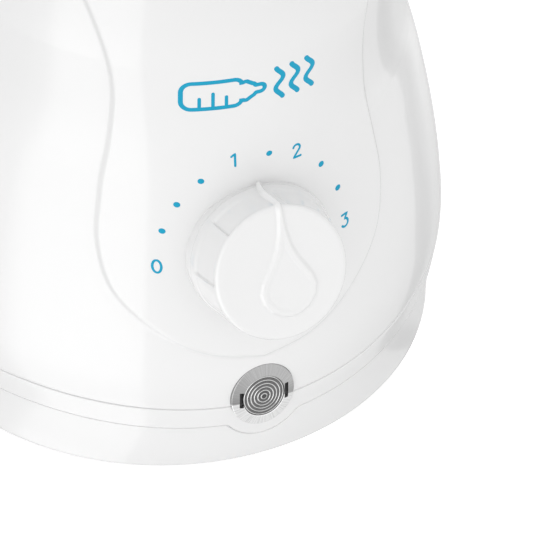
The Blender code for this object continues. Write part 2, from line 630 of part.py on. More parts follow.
# ---------------------------------------------------------------- bottle lifter
def make_lifter(parts, cutters, plastic):
    outer, inner, floor_low = 0.0364, 0.0347, WELL_FLOOR_Z + 0.0004
    floor_top = floor_low + 0.0018
    section = [(0.0, floor_top), (inner - 0.0035, floor_top), (inner, floor_top + 0.0035), (inner, 0.1488),
               (outer, 0.1488), (outer, floor_low + 0.0042), (outer - 0.0042, floor_low), (0.0, floor_low)]
    lifter = turned("bottle_lifter", section, 32, parts, plastic)
    bm = bmesh.new()
    for corner in range(4):
        turn = Matrix.Rotation(math.radians(45 + 90 * corner), 4, "Z") @ Matrix.Translation((outer, 0.0, 0.0955))
        bmesh.ops.create_cube(bm, size=1.0, matrix=turn @ Matrix.Diagonal((0.024, 0.034, 0.069, 1.0)))
    combine(lifter, add_object("lifter_windows", mesh_from(bm, "lifter_windows"), cutters), "DIFFERENCE")
    tops = [((-0.040, 0.0100, 0.1390), (0.040, 0.040, 0.1500)), ((-0.040, -0.040, 0.1390), (0.040, -0.0100, 0.1500))]
    combine(lifter, solids("lifter_top_cuts", cutters, boxes=tops), "DIFFERENCE")
    drains = [(0.0045, on_ring(0.0220, math.radians(60 * i), 0.050), on_ring(0.0220, math.radians(60 * i), 0.058))
              for i in range(6)]
    combine(lifter, solids("lifter_drains", cutters, cylinders=drains, segments=12), "DIFFERENCE")


def main():
    for old in list(bpy.data.objects):
        bpy.data.objects.remove(old)
    parts, cutters = collection("bottle_warmer"), collection("cutters")
    white = material("white_plastic", WHITE, 0.18)
    lifter_white = material("lifter_plastic", (0.86, 0.88, 0.90), 0.35)
    chrome = material("chrome", CHROME, 0.12, 1.0)
    aluminium = material("aluminium", ALUMINIUM, 0.32, 1.0)
    steel = material("steel", STEEL, 0.35, 1.0)
    brass = material("brass", (0.72, 0.56, 0.28), 0.35, 1.0)
    rubber = material("rubber", RUBBER, 0.80)
    silicone = material("silicone", (0.78, 0.79, 0.80), 0.60)
    ceramic = material("heater_ceramic", (0.55, 0.52, 0.48), 0.70)
    dark = material("dark_plastic", (0.08, 0.08, 0.09), 0.50)
    clear = material("lens_plastic", (0.80, 0.84, 0.86), 0.08, 0.0, 0.45)
    glow = material("led_body", (0.90, 0.55, 0.20), 0.20)
    colours = {"brown": material("lead_brown", (0.25, 0.12, 0.06), 0.50),
               "blue": material("lead_blue", (0.05, 0.16, 0.45), 0.50)}

    dial = axis_empty("dial_axis", DIAL_Z, DIAL_TILT, parts)
    lamp = axis_empty("lamp_axis", LAMP_Z, LAMP_TILT, parts)
    lamp_hole = make_housing(parts, cutters, dial, lamp, white)
    make_base_tray(parts, cutters, lamp, lamp_hole, white)
    make_fixings(parts, steel, rubber)
    make_cord_gland(parts, rubber)
    make_well(parts, cutters, aluminium, silicone, steel)
    heater_tab_z = make_heater(parts, cutters, steel, ceramic)
    make_fuse(parts, steel)
    make_thermostat(parts, cutters, dial, dark, steel, brass)
    make_knob(parts, cutters, dial, white)
    make_lamp(parts, lamp, chrome, clear, glow, dark)
    make_wiring(parts, dial, lamp, heater_tab_z, colours, dark)
    make_lifter(parts, cutters, lifter_white)


main()
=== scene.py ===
import json
import math

import bmesh
import bpy
import numpy as np
from mathutils import Matrix, Vector


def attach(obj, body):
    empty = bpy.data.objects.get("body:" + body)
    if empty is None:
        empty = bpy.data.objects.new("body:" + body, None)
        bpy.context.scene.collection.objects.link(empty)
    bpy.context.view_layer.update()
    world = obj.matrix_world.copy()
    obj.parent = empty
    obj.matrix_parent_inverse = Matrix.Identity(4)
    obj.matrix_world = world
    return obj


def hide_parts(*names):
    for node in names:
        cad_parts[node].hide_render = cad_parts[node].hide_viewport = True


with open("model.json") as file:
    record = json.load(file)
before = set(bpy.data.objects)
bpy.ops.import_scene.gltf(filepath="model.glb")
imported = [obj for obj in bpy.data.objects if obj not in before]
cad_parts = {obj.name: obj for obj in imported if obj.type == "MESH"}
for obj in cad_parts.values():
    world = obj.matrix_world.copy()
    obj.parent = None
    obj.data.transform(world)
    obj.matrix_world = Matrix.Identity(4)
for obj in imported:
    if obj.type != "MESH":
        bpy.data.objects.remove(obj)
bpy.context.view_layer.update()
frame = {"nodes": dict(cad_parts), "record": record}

# ---------------------------------------------------------------- dimensions (metres), as in the CAD model
GAP = 0.0003
WALL = 0.0022
EDGE = 0.0004
UNDERSIDE_Z = 0.0005
PARTING_Z = 0.0215
BAND_Z = 0.0147
BAND_STEP = 0.0004
TOP_Z = 0.150
CREST = 0.0024
BODY_STATIONS = [
    (0.000, 0.0648), (0.004, 0.0654), (0.012, 0.0665), (0.024, 0.0680), (0.038, 0.0668),
    (0.054, 0.0641), (0.070, 0.0605), (0.088, 0.0558), (0.110, 0.0535), (0.130, 0.0527),
    (0.150, 0.0546),
]
PANEL_STATIONS = [
    (0.0, 0.0360), (0.0137, 0.0390), (0.0245, 0.0457), (0.0320, 0.0546), (0.0341, 0.0665),
    (0.0326, 0.0788), (0.0302, 0.0930), (0.0298, 0.1102), (0.0345, 0.1300), (0.0420, 0.1480),
]
PANEL_RAISE = 0.0010
PANEL_BEVEL = 0.0018
SQUARENESS = 0.0165
SQUARE_FOOT = 1.4
SQUARE_START = 0.008
SQUARE_FADE = (0.082, 0.114)

WELL_RADIUS = 0.0380
WELL_WALL = 0.0012
WELL_FLOOR_Z = 0.0535
WELL_FLANGE_Z = 0.1359
WELL_FLANGE_RADIUS = 0.0434
LIP_RADIUS = 0.0384
LIP_Z = 0.1380

DIAL_Z = 0.0645
DIAL_TILT = math.radians(13.0)
SEAT_RADIUS = 0.0174
SEAT_OUT = 0.0012
SHAFT_RADIUS = 0.0030
SPINDLE_HOLE_RADIUS = 0.0047
KNOB_BASE_OUT = 0.0016
KNOB_FACE_OUT = 0.0134
KNOB_FACE_RADIUS = 0.0158
KNOB_SKIRT_RADIUS = 0.0172
KNOB_SLANT = math.radians(11.0)
KNOB_SLANT_FROM = 0.0050
KNOB_LEAN = (0.0003, 0.0007)

LAMP_Z = 0.0241
LAMP_TILT = math.radians(4.0)
BEZEL_RADIUS = 0.0077
LENS_RADIUS = 0.0050
BARREL_RADIUS = 0.0061
LAMP_STRETCH = 1.15
RECESS_RADIUS = BEZEL_RADIUS + 0.00006
COLLAR_X = 0.0011
COLLAR_RADII = (0.0115, 0.0148)

SCREW_RING = 0.0575
SCREW_ANGLES = [math.radians(a) for a in (15, 165, 195, 345)]
FOOT_RING = 0.0500
FOOT_ANGLES = [math.radians(a) for a in (45, 135, 225, 315)]
FOOT_RADIUS = 0.0060
CORD_Z = 0.0115
CORD_HOLE_RADIUS = 0.0036


# ---------------------------------------------------------------- curves that set the form
def smooth(stations, t):
    """Cubic through (t, value) stations, with the slope at each station taken from its neighbours."""
    ts = np.array([s[0] for s in stations])
    vs = np.array([s[1] for s in stations])
    last = len(ts) - 1
    before = np.maximum(np.arange(last + 1) - 1, 0)
    after = np.minimum(np.arange(last + 1) + 1, last)
    slopes = (vs[after] - vs[before]) / (ts[after] - ts[before])
    t = np.clip(np.asarray(t, float), ts[0], ts[-1])
    i = np.clip(np.searchsorted(ts, t) - 1, 0, last - 1)
    span = ts[i + 1] - ts[i]
    s = (t - ts[i]) / span
    return ((1 + 2 * s) * (1 - s) ** 2 * vs[i] + s * (1 - s) ** 2 * span * slopes[i]
            + s * s * (3 - 2 * s) * vs[i + 1] + s * s * (s - 1) * span * slopes[i + 1])


def ramp(value, low, high):
    """0 at low, 1 at high, with a smooth start and end."""
    s = np.clip((value - low) / (high - low), 0.0, 1.0)
    return s * s * (3 - 2 * s)


def square_factor(phi, z):
    """Share of the round radius: the plan is drawn in on its four diagonals, most in the lower half."""
    rise = 1 - SQUARE_FOOT * np.exp(-np.maximum(z, 0.0) / SQUARE_START)
    low, high = SQUARE_FADE
    fade = np.clip((high - z) / (high - low), 0.0, 1.0)
    return 1 + SQUARENESS * rise * fade * (np.cos(4 * phi) - 1)


def wall_radius(phi, z):
    """Radius of the body's outer wall."""
    return smooth(BODY_STATIONS, z) * square_factor(phi, z)


def around(radius, phi, z):
    """Points at a radius and an angle from the front."""
    return np.stack([radius * np.sin(phi), -radius * np.cos(phi), z * np.ones_like(phi)], axis=-1)


def outline_distance(outline, x, y):
    """Signed distance to a closed outline, positive inside it."""
    a = np.array(outline)
    b = np.roll(a, -1, axis=0)
    points = np.stack([np.ravel(x), np.ravel(y)], axis=-1)
    nearest = np.full(len(points), 1e9)
    inside = np.zeros(len(points), bool)
    for (ax, ay), (bx, by) in zip(a, b):
        ex, ey = bx - ax, by - ay
        px, py = points[:, 0] - ax, points[:, 1] - ay
        t = np.clip((px * ex + py * ey) / max(ex * ex + ey * ey, 1e-18), 0.0, 1.0)
        nearest = np.minimum(nearest, np.hypot(px - t * ex, py - t * ey))
        crosses = (ay > points[:, 1]) != (by > points[:, 1])
        if ay != by:
            inside ^= crosses & (points[:, 0] < ax + (points[:, 1] - ay) * ex / ey)
    return np.where(inside, nearest, -nearest).reshape(np.shape(x))


PANEL_HALF = [(float(smooth([(i, s[0]) for i, s in enumerate(PANEL_STATIONS)], j / 6)),
               float(smooth([(i, s[1]) for i, s in enumerate(PANEL_STATIONS)], j / 6)))
              for j in range((len(PANEL_STATIONS) - 1) * 6 + 1)]
PANEL_TOP = [(0.042, 0.170), (-0.042, 0.170)]
PANEL_MIRROR = [(-x, z) for x, z in reversed(PANEL_HALF) if x > 0]
PANEL_OUTLINE = PANEL_HALF + PANEL_TOP + PANEL_MIRROR


def panel_relief(phi, z):
    """Height of the raised front panel over the wall."""
    phi, z = np.broadcast_arrays(phi, z)
    radius = wall_radius(phi, z)
    x = radius * np.sin(phi)
    front = np.cos(phi) > 0.3
    distance = np.full(phi.shape, -1.0)
    step = 0.0002
    inside = outline_distance(PANEL_OUTLINE, x[front], z[front])
    across = outline_distance(PANEL_OUTLINE, x[front] + step, z[front]) - inside
    along = np.sqrt(np.clip(1 - (across / step) ** 2, 0, 1))
    metric = np.hypot(across / step * np.cos(phi[front]), along)
    distance[front] = inside / np.maximum(metric, 0.3)
    top = 1 - ramp(z, 0.1415, 0.1455)
    return PANEL_RAISE * ramp(distance, -PANEL_BEVEL / 2, PANEL_BEVEL / 2) * top


def on_front(x, z, lift=0.0):
    """The point of the front wall at x and z, lifted off the surface."""
    x, z = np.asarray(x, float), np.asarray(z, float)
    phi = np.arcsin(np.clip(x / 0.06, -0.95, 0.95))
    for _ in range(6):
        radius = wall_radius(phi, z) + panel_relief(phi, z) + lift
        phi = np.arcsin(np.clip(x / radius, -0.95, 0.95))
    return around(wall_radius(phi, z) + panel_relief(phi, z) + lift, phi, z)


def wall_axis(z, tilt):
    """Frame on the front wall: X to the right, Y up along the wall, Z out of it."""
    place = Matrix.Translation((0.0, -float(smooth(BODY_STATIONS, z)), z))
    return place @ Matrix.Rotation(math.pi / 2 - tilt, 4, "X")


DIAL = wall_axis(DIAL_Z, DIAL_TILT)
LAMP = wall_axis(LAMP_Z, LAMP_TILT) @ Matrix.Diagonal((1.0, LAMP_STRETCH, 1.0, 1.0))


# ---------------------------------------------------------------- mesh helpers
def shown(name, mesh, body, mats, sharp=35.0, replaces=()):
    """A finished piece that rides on a body."""
    made = bpy.data.objects.new(name, mesh)
    bpy.context.scene.collection.objects.link(made)
    mesh.materials.clear()
    for mat in mats:
        mesh.materials.append(mat)
    mesh.shade_smooth()
    mesh.set_sharp_from_angle(angle=math.radians(sharp))
    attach(made, body)
    if replaces:
        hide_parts(*replaces)
    return made


def grid_mesh(name, points, close_rows=False):
    """Quads over an array of points (rows, columns, 3) whose columns go round."""
    rows, columns = points.shape[:2]
    mesh = bpy.data.meshes.new(name)
    index = np.arange(rows * columns).reshape(rows, columns)
    if close_rows:
        index = np.vstack([index, index[:1]])
    a, b = index[:-1], index[1:]
    quads = np.stack([a, np.roll(a, -1, axis=1), np.roll(b, -1, axis=1), b], axis=-1).reshape(-1, 4)
    mesh.from_pydata(points.reshape(-1, 3).tolist(), [], quads.tolist())
    bm = bmesh.new()
    bm.from_mesh(mesh)
    bmesh.ops.remove_doubles(bm, verts=bm.verts, dist=1e-7)
    bmesh.ops.recalc_face_normals(bm, faces=bm.faces)
    bm.to_mesh(mesh)
    bm.free()
    return mesh


def rounded(profile, radius, steps=4):
    """The open profile with each inner corner replaced by a short arc-like curve."""
    out = [profile[0]]
    for before, corner, after in zip(profile, profile[1:], profile[2:]):
        a, c, b = (np.array(p, float) for p in (before, corner, after))
        reach = min(radius, np.linalg.norm(a - c) * 0.45, np.linalg.norm(b - c) * 0.45)
        start = c + (a - c) / max(np.linalg.norm(a - c), 1e-9) * reach
        end = c + (b - c) / max(np.linalg.norm(b - c), 1e-9) * reach
        for i in range(steps + 1):
            t = i / steps
            out.append(tuple((1 - t) ** 2 * start + 2 * t * (1 - t) * c + t * t * end))
    out.append(profile[-1])
    return out


def turned_mesh(name, profile, steps=96, place=Matrix.Identity(4), closed=False):
    """A (radius, z) profile turned about Z, then put in place."""
    section = np.array(profile, float)
    angles = np.arange(steps) * 2 * math.pi / steps
    points = np.stack([np.outer(section[:, 0], np.cos(angles)), np.outer(section[:, 0], np.sin(angles)),
                       np.outer(section[:, 1], np.ones(steps))], axis=-1)
    mesh = grid_mesh(name, points, closed)
    mesh.transform(place)
    return mesh


def rounded_box(low, high, radius, place=Matrix.Identity(4)):
    """A box with rounded edges, used as a cutter."""
    bm = bmesh.new()
    low, high = Vector(low), Vector(high)
    shape = Matrix.Translation((low + high) / 2) @ Matrix.Diagonal((*(high - low), 1))
    bmesh.ops.create_cube(bm, size=1.0, matrix=shape)
    bmesh.ops.bevel(bm, geom=bm.edges[:], offset=radius, segments=4, profile=0.5, affect="EDGES")
    bmesh.ops.transform(bm, matrix=place, verts=bm.verts)
    mesh = bpy.data.meshes.new("cutter")
    bm.to_mesh(mesh)
    bm.free()
    return mesh


def cylinder(radius, low, high, place=Matrix.Identity(4), segments=48):
    """A capped cylinder along Z, used as a cutter."""
    return turned_mesh("cutter", [(0, high), (radius, high), (radius, low), (0, low)], segments, place)


def ring_places(radius, angles):
    """Places on the ground plane, at angles on a ring about the middle."""
    return [Matrix.Translation((radius * math.cos(a), radius * math.sin(a), 0.0)) for a in angles]


def cut(mesh, cutters):
    """The mesh with each cutter taken away from it."""
    work = bpy.data.objects.new("cut_work", mesh)
    bpy.context.scene.collection.objects.link(work)
    helpers = []
    for cutter in cutters:
        helper = bpy.data.objects.new("cut_helper", cutter)
        bpy.context.scene.collection.objects.link(helper)
        helpers.append(helper)
        boolean = work.modifiers.new("cut", "BOOLEAN")
        boolean.operation = "DIFFERENCE"
        boolean.solver = "EXACT"
        boolean.object = helper
    graph = bpy.context.evaluated_depsgraph_get()
    result = bpy.data.meshes.new_from_object(work.evaluated_get(graph))
    for item in [work] + helpers:
        bpy.data.objects.remove(item)
    result.name = mesh.name
    return result


# ---------------------------------------------------------------- materials
class Tree:
    """Short calls for building a node tree."""

    def __init__(self, tree):
        self.nodes, self.links = tree.nodes, tree.links

    def add(self, kind, settings=None, **inputs):
        node = self.nodes.new(kind)
        for key, value in (settings or {}).items():
            setattr(node, key, value)
        for key, value in inputs.items():
            numbered = key[0] == "i" and key[1:].isdigit()
            socket = node.inputs[int(key[1:]) if numbered else key.replace("_", " ")]
            if isinstance(value, bpy.types.NodeSocket):
                self.links.new(value, socket)
            else:
                socket.default_value = value
        return node

    def math(self, operation, a, b=0.0):
        return self.add("ShaderNodeMath", {"operation": operation}, i0=a, i1=b).outputs[0]

    def vector(self, operation, a, b, output="Vector"):
        """A vector node's output: "Value" where the result is a number."""
        return self.add("ShaderNodeVectorMath", {"operation": operation}, i0=a, i1=b).outputs[output]

    def step(self, value, low, high, start=0.0, end=1.0):
        node = self.add("ShaderNodeMapRange", {"interpolation_type": "SMOOTHSTEP"}, Value=value, From_Min=low,
                        From_Max=high, To_Min=start, To_Max=end)
        return node.outputs[0]

    def window(self, value, first, second):
        """1 between two soft edges, each edge given as (where it is 0, where it is 1)."""
        return self.math("MULTIPLY", self.step(value, *first), self.step(value, *second))

    def grey(self, tone):
        return self.add("ShaderNodeCombineColor", Red=tone, Green=tone, Blue=tone).outputs[0]

    def mix(self, factor, a, b):
        node = self.add("ShaderNodeMix", {"data_type": "RGBA"}, i0=factor, i6=a, i7=b)
        return node.outputs[2]


def new_material(name):
    made = bpy.data.materials.new(name)
    made.use_nodes = True
    tree = Tree(made.node_tree)
    shader = made.node_tree.nodes["Principled BSDF"]
    place = tree.add("ShaderNodeTexCoord").outputs["Object"]
    return made, tree, shader, place


def noise(tree, place, scale, detail=3.0, roughness=0.5):
    node = tree.add("ShaderNodeTexNoise", {"noise_dimensions": "3D"}, Vector=place, Scale=scale,
                    Detail=detail, Roughness=roughness)
    return node.outputs["Fac"]


def shaded(tree, shader, colour, variation, factor, rough, rough_variation, rough_factor):
    """Base colour and roughness that vary a little over the surface."""
    dark = [c * (1 - variation) for c in colour] + [1.0]
    light = [min(c * (1 + variation), 1.0) for c in colour] + [1.0]
    tree.links.new(tree.mix(factor, dark, light), shader.inputs["Base Color"])
    spread = tree.step(rough_factor, 0.3, 0.7, max(rough - rough_variation, 0.02), rough + rough_variation)
    tree.links.new(spread, shader.inputs["Roughness"])


def bump(tree, shader, height, strength, distance):
    node = tree.add("ShaderNodeBump", Height=height, Strength=strength, Distance=distance)
    tree.links.new(node.outputs[0], shader.inputs["Normal"])


def moulded_plastic(name, colour, rough, coat=0.0, coat_ior=1.5, grain_depth=0.0000012):
    """Injection-moulded plastic: faint tone drift and fine grain under the gloss."""
    made, tree, shader, place = new_material(name)
    drift = noise(tree, place, 35.0, 2.0)
    fine = noise(tree, place, 2200.0, 2.0)
    shaded(tree, shader, colour, 0.006, drift, rough, 0.02, fine)
    bump(tree, shader, fine, 1.0, grain_depth)
    shader.inputs["Coat Weight"].default_value = coat
    shader.inputs["Coat IOR"].default_value = coat_ior
    shader.inputs["Coat Roughness"].default_value = 0.02
    return made


METAL_SCRATCHES = (900.0, 900.0, 60.0)


def metal(name, colour, rough):
    """Metal with drawn or brushed lines, which run along Z."""
    made, tree, shader, place = new_material(name)
    lines = noise(tree, tree.vector("MULTIPLY", place, METAL_SCRATCHES), 1.0, 3.0, 0.6)
    cloud = noise(tree, place, 60.0, 3.0)
    shaded(tree, shader, colour, 0.05, cloud, rough, 0.06, lines)
    bump(tree, shader, lines, 1.0, 0.000002)
    shader.inputs["Metallic"].default_value = 1.0
    return made


def elastomer(name, colour, rough):
    made, tree, shader, place = new_material(name)
    mottle = noise(tree, place, 250.0, 4.0)
    grain = noise(tree, place, 3500.0, 2.0)
    shaded(tree, shader, colour, 0.08, mottle, rough, 0.05, grain)
    bump(tree, shader, grain, 1.0, 0.000006)
    return made


WHITE = (0.77, 0.77, 0.77)
white = moulded_plastic("white_gloss", WHITE, 0.30, coat=1.0)
knob_white = moulded_plastic("knob_gloss", WHITE, 0.34, coat=1.0, coat_ior=1.7)
lifter_white = moulded_plastic("lifter_satin", (0.74, 0.76, 0.78), 0.38, grain_depth=0.000004)
aluminium = metal("drawn_aluminium", (0.80, 0.81, 0.82), 0.27)
steel = metal("brushed_steel", (0.60, 0.61, 0.63), 0.33)
brass = metal("turned_brass", (0.72, 0.55, 0.27), 0.32)
rubber = elastomer("rubber", (0.045, 0.046, 0.05), 0.78)
silicone = elastomer("silicone", (0.66, 0.67, 0.68), 0.55)
ceramic = elastomer("heater_ceramic", (0.46, 0.42, 0.38), 0.80)
dark_plastic = moulded_plastic("dark_plastic", (0.018, 0.018, 0.02), 0.45, grain_depth=0.000003)
lead_brown = moulded_plastic("lead_brown", (0.13, 0.05, 0.02), 0.45)
lead_blue = moulded_plastic("lead_blue", (0.02, 0.08, 0.30), 0.45)


def ink(name, colour):
    """Pad-printed ink: a thin satin film whose tone drifts a little."""
    made, tree, shader, place = new_material(name)
    speck = noise(tree, place, 900.0, 4.0)
    film = noise(tree, place, 2600.0, 2.0)
    shaded(tree, shader, colour, 0.07, speck, 0.38, 0.05, film)
    bump(tree, shader, film, 1.0, 0.000002)
    shader.inputs["Specular IOR Level"].default_value = 0.2
    return made


print_blue = ink("print_blue", (0.008, 0.33, 0.52))


def glowing_plastic(name, colour):
    made, tree, shader, place = new_material(name)
    cloud = noise(tree, place, 500.0, 2.0)
    shaded(tree, shader, colour, 0.05, cloud, 0.12, 0.03, cloud)
    shader.inputs["Transmission Weight"].default_value = 0.5
    return made


led_body = glowing_plastic("led_body", (0.85, 0.45, 0.15))


def lamp_polar(tree, place):
    """Angle and radius about the pilot lamp's axis."""
    turn = LAMP.inverted()
    x, y = (tree.math("ADD", tree.vector("DOT_PRODUCT", place, tuple(turn[row][:3]), "Value"), turn[row][3])
            for row in range(2))
    angle = tree.math("ARCTAN2", y, x)
    radius = tree.math("SQRT", tree.math("ADD", tree.math("MULTIPLY", x, x), tree.math("MULTIPLY", y, y)))
    return angle, radius


def radial_chrome(name):
    """Chrome with fine scratches that run out from the lamp's axis, with painted shade in its upper half: the
    base colour there is darkened to stand in for a dim reflection.
    """
    made, tree, shader, place = new_material(name)
    angle, radius = lamp_polar(tree, place)
    spokes = tree.add("ShaderNodeCombineXYZ", X=tree.math("MULTIPLY", tree.math("SINE", angle), 22.0),
                      Y=tree.math("MULTIPLY", tree.math("COSINE", angle), 22.0),
                      Z=tree.math("MULTIPLY", radius, 150.0)).outputs[0]
    lines = noise(tree, spokes, 1.0, 4.0, 0.65)
    degrees = tree.math("MULTIPLY", angle, 180 / math.pi)
    turn = tree.math("FLOORED_MODULO", tree.math("ADD", degrees, 90.0), 360.0)
    upper = tree.window(turn, (78.0, 82.0), (280.0, 276.0))
    lower = tree.math("SUBTRACT", 1.0, upper)
    # painted shade: the upper half's base colour is made darker, in place of a dim reflection, and scratch
    # lines are added on top
    painted_upper_shade = tree.math("ADD", tree.step(turn, 190.0, 260.0, 0.34, 0.24), tree.math("MULTIPLY", lines, 0.22))
    clear = tree.math("MULTIPLY", lower, tree.step(lines, 0.3, 0.6, 0.84, 0.99))
    tone = tree.math("ADD", tree.math("MULTIPLY", upper, painted_upper_shade), clear)
    tree.links.new(tree.grey(tone), shader.inputs["Base Color"])
    tree.links.new(tree.step(lines, 0.3, 0.7, 0.04, 0.14), shader.inputs["Roughness"])
    bump(tree, shader, lines, 1.0, 0.000015)
    shader.inputs["Metallic"].default_value = 1.0
    return made


LENS_HUB = 0.0007
LENS_PITCH = 0.00082


def lens_plastic(name):
    """Smoked clear plastic with a mirrored back, dark between its ridges; its base colour is lighter on the
    ridges as a painted highlight.
    """
    made, tree, shader, place = new_material(name)
    radius = lamp_polar(tree, place)[1]
    centre = tree.step(radius, 0.0006, 0.0016, 0.35, 1.0)
    cloud = noise(tree, place, 900.0, 2.0)
    turns = tree.math("DIVIDE", tree.math("SUBTRACT", radius, LENS_HUB), LENS_PITCH)
    share = tree.math("FRACT", tree.math("ADD", turns, 0.5))
    off_ridge = tree.math("ABSOLUTE", tree.math("SUBTRACT", share, 0.5))
    # painted highlight: the ridge crests get a base colour 0.54 lighter than the ground between them
    ridge = tree.step(off_ridge, 0.17, 0.08)
    ground = tree.math("MULTIPLY", centre, tree.step(cloud, 0.2, 0.8, 0.09, 0.13))
    tone = tree.math("ADD", ground, tree.math("MULTIPLY", ridge, 0.54))
    tree.links.new(tree.grey(tone), shader.inputs["Base Color"])
    tree.links.new(tree.step(cloud, 0.2, 0.8, 0.10, 0.16), shader.inputs["Roughness"])
    shader.inputs["Metallic"].default_value = 0.85
    shader.inputs["Coat Weight"].default_value = 1.0
    shader.inputs["Coat Roughness"].default_value = 0.02
    return made


chrome = radial_chrome("radial_chrome")
smoked_lens = lens_plastic("smoked_lens")


# ---------------------------------------------------------------- housing
def spread(*runs):
    """Angles or heights: each run is (start, end, pitch), joined without repeats."""
    out = []
    for start, end, pitch in runs:
        count = max(int(round(abs(end - start) / pitch)), 1)
        out.extend(start + (end - start) * i / count for i in range(count))
    return out


def columns_around(half, fine, coarse):
    """Angles round from the front: fine steps within half an angle of it, coarse elsewhere (degrees)."""
    edge, fine, coarse = (math.radians(a) for a in (half, fine, coarse))
    return np.array(spread((-edge, edge, fine), (edge, 2 * math.pi - edge, coarse)))


def make_housing():
    columns = columns_around(57, 0.42, 2.0)
    low = PARTING_Z + GAP / 2
    centre_z = TOP_Z - CREST
    outer = spread((low + EDGE, 0.0330, 0.0008), (0.0330, 0.1460, 0.00045)) + [0.1460, centre_z]
    rows = []
    for a in (90, 60, 30):
        inset = EDGE * (1 - math.cos(math.radians(a)))
        drop = EDGE * (1 - math.sin(math.radians(a)))
        rows.append(around(wall_radius(columns, low + drop) - inset, columns, low + drop))
    for z in outer:
        rows.append(around(wall_radius(columns, z) + panel_relief(columns, z), columns, z))
    centre_r = float(smooth(BODY_STATIONS, centre_z)) - CREST
    for i in range(1, 13):
        a = math.pi * i / 12
        crest = np.full(len(columns), centre_r + CREST * math.cos(a))
        rows.append(around(crest, columns, centre_z + CREST * math.sin(a)))
    funnel = rounded([(centre_r - CREST, centre_z), (0.0450, 0.1456), (0.0398, 0.1434), (LIP_RADIUS, 0.1417),
                      (LIP_RADIUS, LIP_Z), (0.0404, LIP_Z), (0.0412, 0.1412), (0.0470, 0.1440)], 0.0012)
    for radius, z in funnel[1:]:
        rows.append(around(np.full(len(columns), radius), columns, z))
    for z in (0.142, 0.120, 0.090, 0.060, 0.035, low):
        rows.append(around(wall_radius(columns, z) - WALL, columns, z))
    mesh = grid_mesh("housing_shell", np.array(rows), close_rows=True)
    recess = cylinder(RECESS_RADIUS, -0.010, 0.006, LAMP, 96)
    spindle = cylinder(SPINDLE_HOLE_RADIUS, -0.010, 0.010, DIAL, 32)
    shown("housing_shell", cut(mesh, [recess, spindle]), "base", [white],
          replaces=["housing"])


def make_dial_seat():
    """The low round seat that the knob turns on."""
    rim, wall, hole = SEAT_RADIUS - 0.0004, 0.0015, SPINDLE_HOLE_RADIUS
    seat = rounded([(hole, SEAT_OUT), (rim, SEAT_OUT), (rim, -0.0036), (rim - wall, -0.0036)], 0.0003)
    seat += [(rim - wall, -0.0002), (hole, -0.0002)]
    shown("dial_seat", turned_mesh("dial_seat", seat, 144, DIAL, True), "base", [white])


# ---------------------------------------------------------------- base tray
def band_relief(phi, z):
    """The band, and the round collar that widens it below the lamp, stand proud of the tray."""
    phi, z = np.broadcast_arrays(phi, z)
    radius = wall_radius(phi, z)
    lamp_x = radius * np.sin(phi)
    wide, tall = COLLAR_RADII
    disc = wide - np.hypot(lamp_x - COLLAR_X, (z - LAMP_Z) * wide / tall)
    disc = np.where(np.cos(phi) > 0, disc, -1.0)
    over = z - BAND_Z
    blend = 0.0008
    join = np.clip(0.5 + 0.5 * (over - disc) / blend, 0, 1)
    inside = disc + (over - disc) * join + blend * join * (1 - join)
    groove = ramp(inside, -0.00004, 0.00010) * (1 - ramp(inside, 0.00016, 0.00030))
    return BAND_STEP * (ramp(inside, -0.00030, 0.00002) - 1) - 0.00040 * groove


def make_tray():
    columns = columns_around(14, 0.12, 1.2)
    top = PARTING_Z
    foot = 0.0009
    heights = spread((top - EDGE, 0.0153, 0.0004), (0.0153, 0.0088, 0.00009), (0.0088, 0.0064, 0.0004),
                     (0.0064, UNDERSIDE_Z + foot, 0.0006)) + [UNDERSIDE_Z + foot]
    rows = []
    for a in (90, 60, 30):
        inset = EDGE * (1 - math.cos(math.radians(a)))
        drop = EDGE * (1 - math.sin(math.radians(a)))
        rows.append(around(wall_radius(columns, top) - inset, columns, top - drop))
    for z in heights:
        rows.append(around(wall_radius(columns, z) + band_relief(columns, z), columns, z))
    base_r = wall_radius(columns, UNDERSIDE_Z + foot) - BAND_STEP
    for i in range(1, 6):
        a = math.pi / 2 * i / 5
        inset = foot * (1 - math.cos(a))
        rows.append(around(base_r - inset, columns, UNDERSIDE_Z + foot * (1 - math.sin(a))))
    for share in (0.985, 0.96, 0.70, 0.35, 0.0):
        rows.append(around((base_r - foot) * share, columns, UNDERSIDE_Z))
    floor_z = UNDERSIDE_Z + 0.0024
    for share in (0.0, 0.5, 0.93):
        rows.append(around(base_r * share, columns, floor_z))
    for z in (0.0060, 0.0130, 0.0185):
        rows.append(around(wall_radius(columns, z) - WALL - BAND_STEP, columns, z))
    tongue = smooth(BODY_STATIONS, PARTING_Z) - WALL - 0.0009
    for radius, z in ((tongue - 0.0012, 0.0190), (tongue - 0.0012, 0.0256), (tongue, 0.0256), (tongue, top)):
        rows.append(around(radius * square_factor(columns, z), columns, z))
    mesh = grid_mesh("tray_shell", np.array(rows), close_rows=True)
    cutters = [cylinder(RECESS_RADIUS, -0.0014, 0.006, LAMP, 96),
               cylinder(BARREL_RADIUS + GAP, -0.014, 0.002, LAMP, 48)]
    for place in ring_places(FOOT_RING, FOOT_ANGLES):
        cutters.append(cylinder(FOOT_RADIUS + GAP, -0.001, 0.0021, place, 40))
    for place in ring_places(SCREW_RING, SCREW_ANGLES):
        cutters.append(cylinder(0.0035, -0.001, 0.0080, place, 28))
    shown("tray_shell", cut(mesh, cutters), "base", [white], replaces=["base_tray"])


